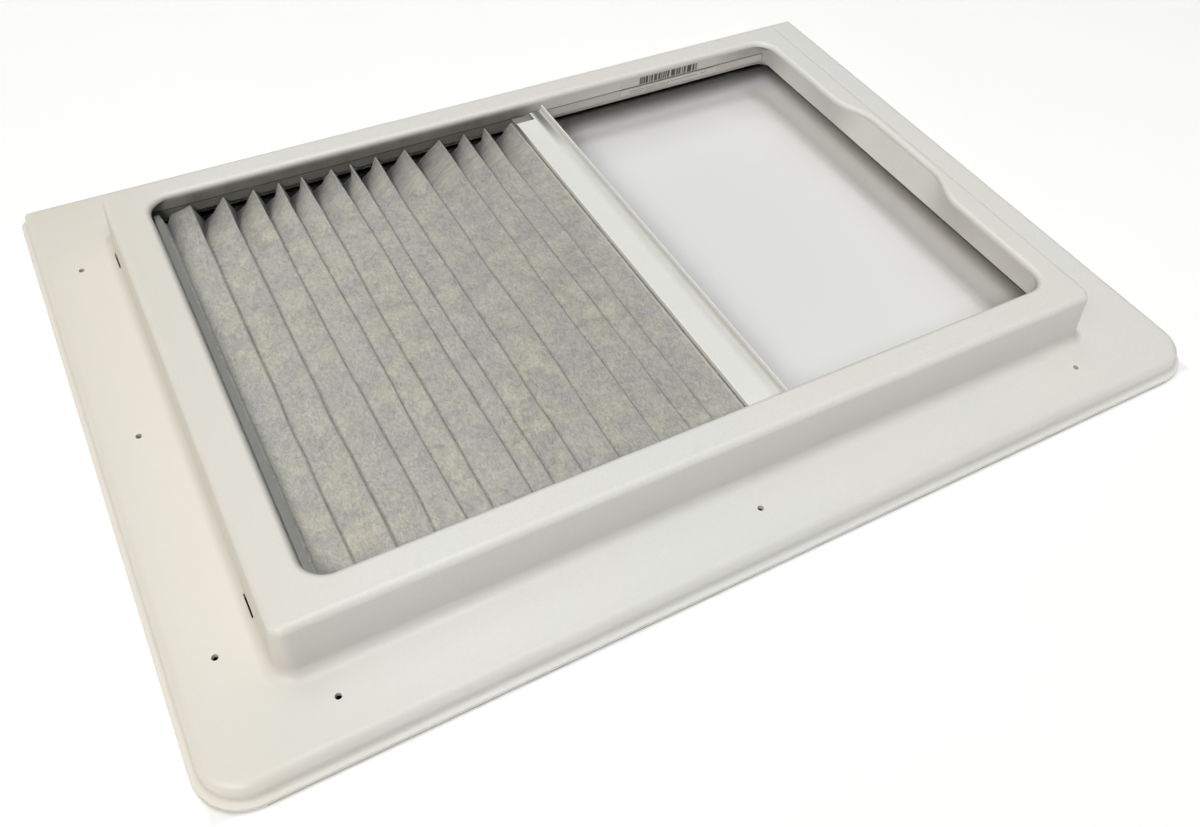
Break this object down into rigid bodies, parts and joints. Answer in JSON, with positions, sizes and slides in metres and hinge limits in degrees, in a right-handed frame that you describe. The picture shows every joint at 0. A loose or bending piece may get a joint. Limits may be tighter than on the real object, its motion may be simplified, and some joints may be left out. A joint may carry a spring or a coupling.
{
  "type": "roof vent cover",
  "caption": "Rectangular room-side frame for a caravan roof vent, with a raised opening, a finger scoop and a grey concertina filter that slides shut on a handle bar.",
  "frame": {"origin": "under the middle of the flange, on the plane of the foam seals' lower faces", "axes": "+X along the slide and the long side, towards the open bay; +Y from the front to the back; +Z out of the room-side face"},
  "size_m": [0.659, 0.473, 0.052],
  "materials": {
    "shell": "warm off-white formed ABS, satin, fine grain, a little yellowed",
    "rail": "off-white extruded PVC, satin",
    "bar": "white extruded PVC, satin, lightly handled",
    "insert": "pale grey moulded nylon, matt",
    "media": "grey non-woven filter cloth, mottled by dust, matt",
    "strip": "mid-grey extruded strip, satin",
    "seal": "grey closed-cell foam, matt",
    "steel": "zinc-plated steel, satin",
    "paper": "white paper label with plain printed bars, matt"
  },
  "bodies": {
    "frame": {"outer_frame": "shell", "seal_front": "seal", "seal_back": "seal", "seal_left": "seal", "seal_right": "seal", "guide_rail_front": "rail", "rail_end_block_front_left": "insert", "rail_screw_front_left": "steel", "rail_end_block_front_right": "insert", "rail_screw_front_right": "steel", "guide_rail_back": "rail", "rail_end_block_back_left": "insert", "rail_screw_back_left": "steel", "rail_end_block_back_right": "insert", "rail_screw_back_right": "steel", "pleat_anchor_strip": "insert", "pleat_clamp_strip": "strip", "anchor_screw_1": "steel", "anchor_screw_2": "steel", "anchor_screw_3": "steel", "pleated_filter": "media", "retaining_clip_front": "steel", "retaining_clip_back": "steel", "rating_label_upper": "paper", "rating_label_lower": "paper"},
    "slider": {"handle_bar": "bar", "pleat_clip_strip": "strip", "end_shoe_front": "insert", "end_shoe_back": "insert", "shoe_screw_front": "steel", "shoe_screw_back": "steel"}
  },
  "joints": [
    {"name": "filter_slide", "type": "slide", "parent": "frame", "child": "slider", "axis": [1, 0, 0], "range_m": [-0.155, 0.184], "deforming": ["pleated_filter"]}
  ]
}
